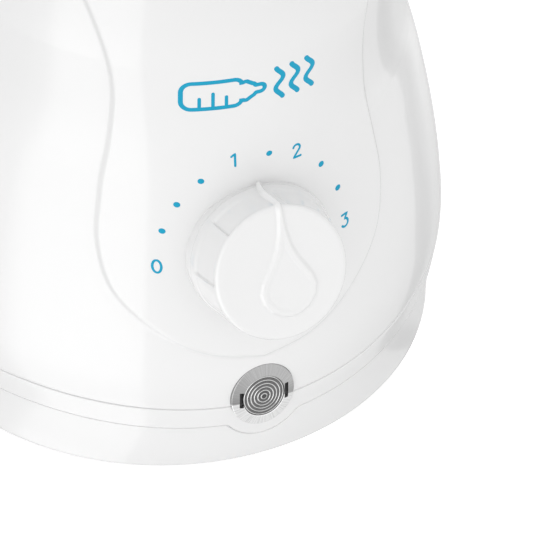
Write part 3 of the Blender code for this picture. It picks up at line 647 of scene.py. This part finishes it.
# ---------------------------------------------------------------- knob
DROP_STATIONS = [(-0.0104, 0.0), (-0.0100, 0.0023), (-0.0087, 0.0045), (-0.0064, 0.0063), (-0.0037, 0.0069),
                 (-0.0013, 0.0062), (0.0018, 0.0043), (0.0038, 0.0031), (0.0060, 0.0021), (0.0083, 0.0015),
                 (0.0103, 0.0011), (0.0140, 0.0008), (0.0175, 0.0007), (0.0210, 0.0007), (0.0280, 0.0006)]
DROP_X = 0.0012
CREASES = 8
CREASE_DEPTH = 0.0005
KNOB_FOOT = KNOB_BASE_OUT - 0.00025
KNOB_SHOULDER = 0.0013
KNOB_EDGE = 0.00025
KNOB_BORE_TOP = 0.0096


def knob_section():
    """Profile from the middle of the face, down the wall and up into the bore: (radius, height, kind)."""
    face, radius, shoulder, edge = KNOB_FACE_OUT, KNOB_FACE_RADIUS, KNOB_SHOULDER, KNOB_EDGE
    section = [(r, face, "face") for r in spread((0.0, radius - shoulder, 0.00025))]
    for i in range(0, 9):
        a = math.pi / 2 * i / 8
        drop = shoulder * (1 - math.cos(a))
        section.append((radius - shoulder + shoulder * math.sin(a), face - drop, "wall"))
    low = KNOB_FOOT + edge
    for w in spread((face - shoulder - 0.0003, low, 0.00035)):
        share = (face - shoulder - w) / (face - shoulder - low)
        section.append((radius + (KNOB_SKIRT_RADIUS - radius) * share, w, "wall"))
    for i in range(0, 4):
        a = math.pi / 2 * i / 3
        section.append((KNOB_SKIRT_RADIUS - edge * (1 - math.cos(a)), low - edge * math.sin(a), "wall"))
    under = face - 0.0020
    bore = SHAFT_RADIUS + GAP
    inner = [(radius - 0.0010, KNOB_FOOT), (radius - 0.0018, under), (0.0052, under), (0.0052, 0.0050),
             (bore, 0.0050), (bore, KNOB_BORE_TOP), (0.0, KNOB_BORE_TOP)]
    return section + [(r, w, "in") for r, w in inner]


def drop_inside(x, along, outline):
    """How far a point is inside the drop's outline, which bends off the middle toward its bulb."""
    return outline_distance(outline, x - DROP_X * ramp(-along, -0.024, -0.0155), along)


def drop_relief(inside, along):
    """The raised drop, with a faint dish in its bulb."""
    soft = np.clip(smooth(DROP_STATIONS, along), 0.0004, 0.0007)
    rise = 0.0006 + 0.0007 * ramp(along, 0.012, 0.024)
    return rise * ramp(inside, -0.35 * soft, soft) - 0.00018 * ramp(inside, 0.0012, 0.0020)


def grip_notch(columns, w, inside):
    """Depth of the saw-toothed grip creases, which stop short of the drop's pointer."""
    turn = columns * CREASES / (2 * math.pi)
    saw = 1 - (turn - np.floor(turn))
    top = KNOB_FACE_OUT
    grip = ramp(w, KNOB_FOOT + 0.0020, KNOB_FOOT + 0.0028) * (1 - ramp(w, top - 0.0022, top - 0.0004))
    return CREASE_DEPTH * saw ** 1.3 * grip * (1 - ramp(inside, -0.0022, -0.0012))


def slant(x, y, height):
    """The upper part of the knob leans, so that its face slopes toward its top."""
    share = np.clip((height - KNOB_SLANT_FROM) / (KNOB_FACE_OUT - KNOB_SLANT_FROM), 0.0, 1.0)
    return np.stack([x + share * KNOB_LEAN[0], y + share * KNOB_LEAN[1],
                     height - share * y * math.tan(KNOB_SLANT)], axis=-1)


def make_knob():
    columns = columns_around(7.5, 0.3, 1.0)
    section = knob_section()
    face, shoulder = KNOB_FACE_OUT, KNOB_SHOULDER
    right = [(w, s) for s, w in DROP_STATIONS]
    outline = right + [(-w, s) for w, s in reversed(right) if w > 0]
    rows = []
    travelled = 0.0
    previous = section[0]
    for r, w, kind in section:
        travelled += math.hypot(r - previous[0], w - previous[1])
        previous = (r, w)
        x, y = r * np.sin(columns), r * np.cos(columns)
        out, height = np.full(len(columns), r), np.full(len(columns), w)
        if kind == "face":
            height = height + drop_relief(drop_inside(x, y, outline), y)
        elif kind == "wall":
            along = y + (travelled - r) * (np.cos(columns) > 0)
            inside = drop_inside(x, along, outline)
            relief = drop_relief(inside, along)
            rounding = w > face - shoulder
            reach = max(r - (KNOB_FACE_RADIUS - shoulder), 1e-6)
            tilt = math.atan2(w - (face - shoulder), reach) if rounding else 0.0
            out = out + relief * math.cos(tilt) - grip_notch(columns, w, inside)
            height = height + relief * math.sin(tilt)
        rows.append(slant(out * np.sin(columns), out * np.cos(columns), height))
    mesh = grid_mesh("knob_shell", np.array(rows))
    mesh.transform(DIAL)
    shown("knob_shell", mesh, "knob", [knob_white], replaces=["control_knob"])


# ---------------------------------------------------------------- pilot lamp
SLOT_XS = (-0.0054, 0.0056)
SLOT_HALF = Vector((0.00048, 0.00195, 0.0))
LENS_EDGE = LENS_RADIUS - 0.00003
LENS_ROWS = 125


def slot_box(x, low, high, fill, radius):
    """A rounded block in a side slot of the bezel, from low to high; fill is its share of the slot's size."""
    centre = Vector((x, 0.0, 0.0))
    start = centre - SLOT_HALF * fill + Vector((0, 0, low))
    end = centre + SLOT_HALF * fill + Vector((0, 0, high))
    return rounded_box(start, end, radius, LAMP)


def make_bezel():
    hole = LENS_RADIUS + 0.00005
    dish = rounded([(hole, -0.0120), (hole, 0.0009), (BEZEL_RADIUS - 0.0003, 0.00025), (BEZEL_RADIUS, 0.0001),
                    (BEZEL_RADIUS, -0.0011), (BARREL_RADIUS, -0.0011), (BARREL_RADIUS, -0.0120)], 0.0002)
    ring = turned_mesh("bezel_ring", dish, 144, LAMP, True)
    slots = [slot_box(x, -0.0006, 0.0030, 1.0, 0.00012) for x in SLOT_XS]
    shown("bezel_ring", cut(ring, slots), "base", [chrome], replaces=["lamp_bezel"])
    backs = bmesh.new()
    for x in SLOT_XS:
        backs.from_mesh(slot_box(x, -0.0007, -0.0001, 0.98, 0.00008))
    mesh = bpy.data.meshes.new("slot_backs")
    backs.to_mesh(mesh)
    backs.free()
    shown("slot_backs", mesh, "base", [dark_plastic])


def make_lens():
    """A shallow dome with ring-shaped ridges, lower ones inside the hub."""
    crown = []
    for i in range(LENS_ROWS + 1):
        r = LENS_EDGE * i / LENS_ROWS
        wave = abs(math.sin(math.pi * (r - LENS_HUB) / LENS_PITCH))
        ridge = wave if r > LENS_HUB else wave * 0.6
        level = 0.0008 - 0.0003 * (r / LENS_RADIUS) ** 2
        crown.append((r, level + 0.00022 * (1 - ridge)))
    crown += [(LENS_EDGE, 0.0001), (LENS_EDGE, -0.0031), (0.0, -0.0031)]
    shown("lens_disc", turned_mesh("lens_disc", crown, 128, LAMP), "base", [smoked_lens], sharp=60.0,
          replaces=["lamp_lens"])


# ---------------------------------------------------------------- printed marks
def arc(cx, cy, rx, ry, start, end, steps=14):
    return [(cx + rx * math.cos(math.radians(start + (end - start) * i / steps)),
             cy + ry * math.sin(math.radians(start + (end - start) * i / steps))) for i in range(steps + 1)]


def line(*points, pitch=0.05):
    out = [points[0]]
    for (ax, ay), (bx, by) in zip(points, points[1:]):
        count = max(int(math.hypot(bx - ax, by - ay) / pitch), 1)
        out.extend((ax + (bx - ax) * i / count, ay + (by - ay) * i / count) for i in range(1, count + 1))
    return out


DIGITS = {
    "0": (arc(0, 0, 0.25, 0.42, 90, 450, 36)[:-1], True),
    "1": (line((-0.17, 0.25), (0.05, 0.42), (0.05, -0.42)), False),
    "2": (arc(0, 0.20, 0.23, 0.22, 165, -38) + line((0.17, 0.05), (-0.23, -0.42), (0.25, -0.42)), False),
    "3": (line((-0.22, 0.42), (0.19, 0.42), (-0.02, 0.11)) + arc(-0.02, -0.155, 0.25, 0.265, 75, -145, 18),
          False),
}


def stroke_mesh(name, strokes):
    """Raised ink ribbons on the front wall. A stroke is (points, closed, width) in metres of x and z."""
    verts, faces = [], []
    across = np.array([-1.0, -0.82, 0.0, 0.82, 1.0])
    lift = np.array([-0.00004, 0.00003, 0.00004, 0.00003, -0.00004])
    for points, closed, width in strokes:
        centre = np.array(points, float)
        if len(centre) == 1:
            heading = np.array([[1.0, 0.0]])
        elif closed:
            heading = np.roll(centre, -1, axis=0) - np.roll(centre, 1, axis=0)
        else:
            heading = np.gradient(centre, axis=0)
        heading = heading / np.linalg.norm(heading, axis=1, keepdims=True)
        half = np.full(len(centre), width / 2)
        if not closed:
            turns = np.radians([90, 72, 54, 36, 18])
            head = np.array([centre[0] - heading[0] * width / 2 * math.sin(a) for a in turns])
            tail = np.array([centre[-1] + heading[-1] * width / 2 * math.sin(a) for a in turns[::-1]])
            ends = width / 2 * np.cos(turns)
            ends[0] = width * 0.01
            centre = np.vstack([head, centre, tail])
            first, final = np.repeat(heading[:1], 5, axis=0), np.repeat(heading[-1:], 5, axis=0)
            heading = np.vstack([first, heading, final])
            half = np.concatenate([ends, half, ends[::-1]])
        side = np.stack([-heading[:, 1], heading[:, 0]], axis=-1)
        flat = centre[:, None, :] + side[:, None, :] * (half[:, None] * across)[..., None]
        raised = np.broadcast_to(lift, flat.shape[:2]).copy()
        if not closed:
            raised[0], raised[-1] = lift[0], lift[0]
        solid = on_front(flat[..., 0], flat[..., 1], raised)
        start = len(verts)
        verts.extend(solid.reshape(-1, 3).tolist())
        count = len(centre)
        for i in range(count if closed else count - 1):
            k = (i + 1) % count
            for j in range(4):
                here, there = start + i * 5 + j, start + k * 5 + j
                faces.append((here, there, there + 1, here + 1))
    mesh = bpy.data.meshes.new(name)
    mesh.from_pydata(verts, [], faces)
    mesh.update()
    if mesh.polygons[0].normal.y > 0:
        mesh.flip_normals()
    return mesh


DIGIT_HEIGHT = 0.0037
DIGIT_STROKE = 0.00062
DOT_WIDTH = 0.00150
MARK_X = -0.0010
MARK_Z = 0.1066
# Each mark is (digit, or nothing for a dot; angle from the top in degrees; distance from the dial's axis)
MARKS = [("0", -95.0, 0.0232), ("", -72.0, 0.0226), ("", -53.0, 0.0225), ("", -33.0, 0.0229),
         ("1", -11.5, 0.0243), ("", 8.3, 0.0238), ("2", 25.5, 0.0241), ("", 47.0, 0.0228),
         ("", 69.7, 0.0222), ("3", 93.4, 0.0224)]


def make_print():
    strokes = []
    for digit, angle, radius in MARKS:
        x = radius * math.sin(math.radians(angle))
        z = DIAL_Z + radius * math.cos(math.radians(angle))
        if digit:
            points, closed = DIGITS[digit]
            placed = [(x + px * DIGIT_HEIGHT, z + py * DIGIT_HEIGHT) for px, py in points]
            strokes.append((placed, closed, DIGIT_STROKE))
        else:
            strokes.append(([(x, z)], False, DOT_WIDTH))
    mesh = stroke_mesh("dial_print", strokes)
    shown("dial_print", mesh, "base", [print_blue], sharp=180.0)


def make_mark():
    """A feeding bottle on its side, with three waves of heat, drawn in millimetres about its middle."""
    bottle = (arc(-13.2, -1.3, 2.3, 2.3, 180, 270, 8) + line((-12.9, -3.6), (-3.8, -3.6), pitch=0.5)
              + arc(-3.8, -1.6, 2.0, 2.0, -84, -35, 5) + arc(-0.9, -1.9, 1.3, 0.7, -160, -90, 4)
              + arc(-0.4, -0.9, 1.6, 1.0, -60, -10, 4) + line((1.3, -1.0), (2.3, -1.0), pitch=0.4)
              + arc(2.3, 0.0, 1.1, 1.0, -80, 80, 8))
    bottle = bottle + [(x, -y) for x, y in reversed(bottle)][9:]
    strokes = [(bottle, True, 1.2)]
    for x, top in ((-11.5, -0.8), (-8.5, 0.4), (-5.5, -0.8)):
        strokes.append((line((x, -3.2), (x, top), pitch=0.4), False, 0.9))
    for x in (7.0, 10.8, 14.6):
        wave = [(x + 0.9 * math.sin(y * 1.05), y) for y in np.linspace(-4.0, 4.0, 33)]
        strokes.append((wave, False, 1.35))
    placed = [([(MARK_X + px * 0.001, MARK_Z + pz * 0.001) for px, pz in points], closed, width * 0.001)
              for points, closed, width in strokes]
    mesh = stroke_mesh("warming_mark", placed)
    shown("warming_mark", mesh, "base", [print_blue], sharp=180.0)


# ---------------------------------------------------------------- well, lifter and small pieces
def make_well():
    outer = WELL_RADIUS + WELL_WALL
    flange_low = WELL_FLANGE_Z - WELL_WALL
    bottom = WELL_FLOOR_Z - 0.0015
    cup = rounded([(0.0, WELL_FLOOR_Z), (WELL_RADIUS, WELL_FLOOR_Z), (WELL_RADIUS, WELL_FLANGE_Z),
                   (WELL_FLANGE_RADIUS, WELL_FLANGE_Z), (WELL_FLANGE_RADIUS, flange_low), (outer, flange_low),
                   (outer, bottom), (0.0025, bottom), (0.0025, 0.0384), (0.0, 0.0384)], 0.0030, 6)
    shown("well_cup", turned_mesh("well_cup", cup, 160), "base", [aluminium],
          replaces=["heating_well"])
    bore, outside = LIP_RADIUS + 0.0002, WELL_FLANGE_RADIUS
    high, low = LIP_Z - GAP, WELL_FLANGE_Z + GAP
    crown = (0.0405, high)
    ring = rounded([crown, (outside, high), (outside, low), (bore, low), (bore, high), crown], 0.0004)
    mesh = turned_mesh("seal_ring", ring[:-1], 128, closed=True)
    shown("seal_ring", mesh, "base", [silicone], replaces=["well_seal"])


def make_lifter():
    outer, inner, rim = 0.0364, 0.0347, 0.1488
    low = WELL_FLOOR_Z + 0.0004
    top = low + 0.0018
    section = rounded([(0.0, top), (inner - 0.0035, top), (inner, top + 0.0035), (inner, rim), (outer, rim),
                       (outer, low + 0.0042), (outer - 0.0042, low), (0.0, low)], 0.0007)
    mesh = turned_mesh("lifter_shell", section, 128)
    cutters = []
    for corner in range(4):
        turn = Matrix.Rotation(math.radians(45 + 90 * corner), 4, "Z")
        window = (outer - 0.012, -0.017, 0.0610), (outer + 0.012, 0.017, 0.1300)
        cutters.append(rounded_box(*window, 0.004, turn))
    for side in (-1, 1):
        low_y, high_y = sorted((side * 0.0100, side * 0.0400))
        cutters.append(rounded_box((-0.040, low_y, 0.1390), (0.040, high_y, 0.1560), 0.0015))
    for place in ring_places(0.022, [math.radians(60 * i) for i in range(6)]):
        cutters.append(cylinder(0.0045, 0.050, 0.060, place, 40))
    shown("lifter_shell", cut(mesh, cutters), "lifter", [lifter_white],
          replaces=["bottle_lifter"])


def make_feet():
    pad = rounded([(0.0, 0.0018), (FOOT_RADIUS, 0.0018), (FOOT_RADIUS, 0.0), (FOOT_RADIUS - 0.0016, 0.0),
                   (FOOT_RADIUS - 0.0020, 0.0003), (0.0, 0.0003)], 0.0003)
    for i, place in enumerate(ring_places(FOOT_RING, FOOT_ANGLES), 1):
        mesh = turned_mesh(f"foot_pad_{i}", pad, 48, place)
        shown(f"foot_pad_{i}", mesh, "base", [rubber], replaces=[f"foot_{i}"])


def make_case_screws():
    """Threaded shanks with a cross recess in a pan head."""
    shank = [(0.0, 0.0350), (0.0008, 0.0350)]
    for k in range(26):
        z = 0.0335 - k * 0.0010
        shank += [(0.0015, z), (0.0012, z - 0.0005)]
    shank += [(0.0012, 0.0076), (0.0031, 0.0076), (0.0031, 0.0066), (0.0024, 0.0056), (0.0, 0.0052)]
    for i, place in enumerate(ring_places(SCREW_RING, SCREW_ANGLES), 1):
        blank = turned_mesh(f"case_screw_top_{i}", shank, 32, place)
        arms = [rounded_box((-x, -y, 0.0040), (x, y, 0.0066), 0.00005, place)
                for x, y in ((0.0016, 0.0003), (0.0003, 0.0016))]
        shown(f"case_screw_top_{i}", cut(blank, arms), "base", [steel],
              replaces=[f"case_screw_{i}"])


def make_cord_gland():
    along = Matrix.Translation((0.0, 0.0, CORD_Z)) @ Matrix.Rotation(-math.pi / 2, 4, "X")
    gland = rounded([(CORD_HOLE_RADIUS, 0.0562), (CORD_HOLE_RADIUS, 0.0704), (0.0064, 0.0704),
                     (0.0072, 0.0698), (0.0072, 0.0689), (0.0055, 0.0689), (0.0055, 0.0577),
                     (0.0072, 0.0577), (0.0072, 0.0562)], 0.0002)
    mesh = turned_mesh("gland_grommet", gland, 64, along, True)
    shown("gland_grommet", mesh, "base", [rubber], replaces=["cord_gland"])
    boss = rounded([(0.0058, 0.0560), (0.0058, 0.0686), (0.0085, 0.0686), (0.0085, 0.0560)], 0.0004)
    shown("cord_boss", turned_mesh("cord_boss", boss, 64, along, True), "base", [white])


make_housing()
make_dial_seat()
make_tray()
make_knob()
make_bezel()
make_lens()
make_print()
make_mark()
make_well()
make_lifter()
make_feet()
make_case_screws()
make_cord_gland()


# ---------------------------------------------------------------- carried-over CAD nodes
SLOT_MATERIALS = {
    "steel": steel, "brass": brass, "rubber": rubber, "silicone": silicone, "heater_ceramic": ceramic,
    "dark_plastic": dark_plastic, "led_body": led_body, "lead_brown": lead_brown, "lead_blue": lead_blue,
    "white_plastic": white, "lifter_plastic": lifter_white, "chrome": chrome, "aluminium": aluminium,
    "lens_plastic": smoked_lens,
}
for part in frame["record"]["subparts"]:
    node = frame["nodes"][part["node"]]
    for slot in node.material_slots:
        slot.material = SLOT_MATERIALS[part["material_slot"]]


# ---------------------------------------------------------------- floor, light and camera
BOUNCE_CENTRE = (-0.06, -0.18, 0.0)
FLOOR_GLOW = 0.45


def make_floor():
    """A pale disc that lights the object most from the front left."""
    steps = np.arange(96) * 2 * math.pi / 96
    circle = np.stack([np.cos(steps), np.sin(steps), np.zeros(96)], axis=-1)
    mesh = grid_mesh("floor", np.array([r * circle for r in (0.0, 0.3, 1.0, 3.0, 8.0)]))
    if mesh.polygons[0].normal.z < 0:
        mesh.flip_normals()
    floor = bpy.data.objects.new("floor", mesh)
    bpy.context.scene.collection.objects.link(floor)
    made = bpy.data.materials.new("floor_white")
    made.use_nodes = True
    tree = Tree(made.node_tree)
    shader = made.node_tree.nodes["Principled BSDF"]
    shader.inputs["Base Color"].default_value = (0.80, 0.80, 0.80, 1.0)
    shader.inputs["Roughness"].default_value = 0.9
    shader.inputs["Specular IOR Level"].default_value = 0.0
    shader.inputs["Emission Color"].default_value = (1.0, 1.0, 1.0, 1.0)
    seen = tree.add("ShaderNodeLightPath").outputs["Is Camera Ray"]
    place = tree.add("ShaderNodeTexCoord").outputs["Object"]
    reach = tree.vector("DISTANCE", place, BOUNCE_CENTRE, "Value")
    bounce = tree.step(reach, 0.20, 0.03, 0.16, 0.40)
    unseen = tree.math("MULTIPLY", bounce, tree.math("SUBTRACT", 1.0, seen))
    strength = tree.math("ADD", unseen, tree.math("MULTIPLY", seen, FLOOR_GLOW))
    tree.links.new(strength, shader.inputs["Emission Strength"])
    mesh.materials.append(made)
    floor.visible_glossy = False


AMBIENT_LEVEL = 1.075
SOFTBOX_LEVEL = 1.05
FALLOFF_RIGHT = 0.10
FLAG_DEPTH = 0.43
SIDE_DEPTH = 0.20


def make_world():
    """White to the camera; round the object, a bright softbox on the left and a dimmer flag on the right."""
    world = bpy.data.worlds.new("studio")
    world.use_nodes = True
    bpy.context.scene.world = world
    tree = Tree(world.node_tree)
    background = world.node_tree.nodes["Background"]
    background.inputs["Color"].default_value = (1.0, 1.0, 1.0, 1.0)
    heading = tree.add("ShaderNodeTexCoord").outputs["Generated"]
    x, y, z = tree.add("ShaderNodeSeparateXYZ", Vector=heading).outputs
    front = tree.math("ARCTAN2", x, tree.math("MULTIPLY", y, -1.0))
    azimuth = tree.math("MULTIPLY", front, 180 / math.pi)
    across = tree.window(azimuth, (-31.0, -34.0), (-82.0, -72.0))
    softbox = tree.math("MULTIPLY", across, tree.window(z, (-0.955, -0.90), (0.95, -0.10)))
    level = tree.math("ADD", AMBIENT_LEVEL, tree.math("MULTIPLY", softbox, SOFTBOX_LEVEL))
    level = tree.math("SUBTRACT", level, tree.step(azimuth, 30.0, 100.0, 0.0, FALLOFF_RIGHT))
    flag = tree.window(azimuth, (104.0, 107.0), (128.0, 110.0))
    level = tree.math("SUBTRACT", level, tree.math("MULTIPLY", flag, FLAG_DEPTH))
    side = tree.window(azimuth, (-82.0, -92.0), (-155.0, -145.0))
    level = tree.math("SUBTRACT", level, tree.math("MULTIPLY", side, SIDE_DEPTH))
    level = tree.math("MULTIPLY", level, tree.step(z, -0.66, -0.52, 0.74, 1.0))
    seen = tree.add("ShaderNodeLightPath").outputs["Is Camera Ray"]
    unseen = tree.math("MULTIPLY", level, tree.math("SUBTRACT", 1.0, seen))
    tree.links.new(tree.math("ADD", unseen, seen), background.inputs["Strength"])


CAMERA_TURN = math.radians(21.55)
CAMERA_ELEVATION = math.radians(41.98)
CAMERA_DISTANCE = 1.21674
CAMERA_AIM_Z = 0.050
CAMERA_LENS = 338.66
CAMERA_YAW = math.radians(1.30)
CAMERA_PITCH = math.radians(1.65)
CAMERA_ROLL = math.radians(1.84)


def make_camera():
    """A long lens on the left, looking down at the front, with the subject off centre in the frame."""
    turn, lift = CAMERA_TURN, CAMERA_ELEVATION
    back = Vector((-math.sin(turn) * math.cos(lift), -math.cos(turn) * math.cos(lift), math.sin(lift)))
    right = Vector((math.cos(turn), -math.sin(turn), 0.0))
    up = back.cross(right)
    place = Matrix((right, up, back)).transposed().to_4x4()
    place.translation = Vector((0.0, 0.0, CAMERA_AIM_Z)) + back * CAMERA_DISTANCE
    aim = Matrix.Rotation(-CAMERA_YAW, 4, "Y") @ Matrix.Rotation(-CAMERA_PITCH, 4, "X")
    aim = aim @ Matrix.Rotation(CAMERA_ROLL, 4, "Z")
    data = bpy.data.cameras.new("camera")
    data.lens = CAMERA_LENS
    data.sensor_width = 36.0
    camera = bpy.data.objects.new("camera", data)
    bpy.context.scene.collection.objects.link(camera)
    camera.matrix_world = place @ aim
    bpy.context.scene.camera = camera


make_floor()
make_world()
make_camera()
bpy.context.scene.view_settings.view_transform = "Standard"
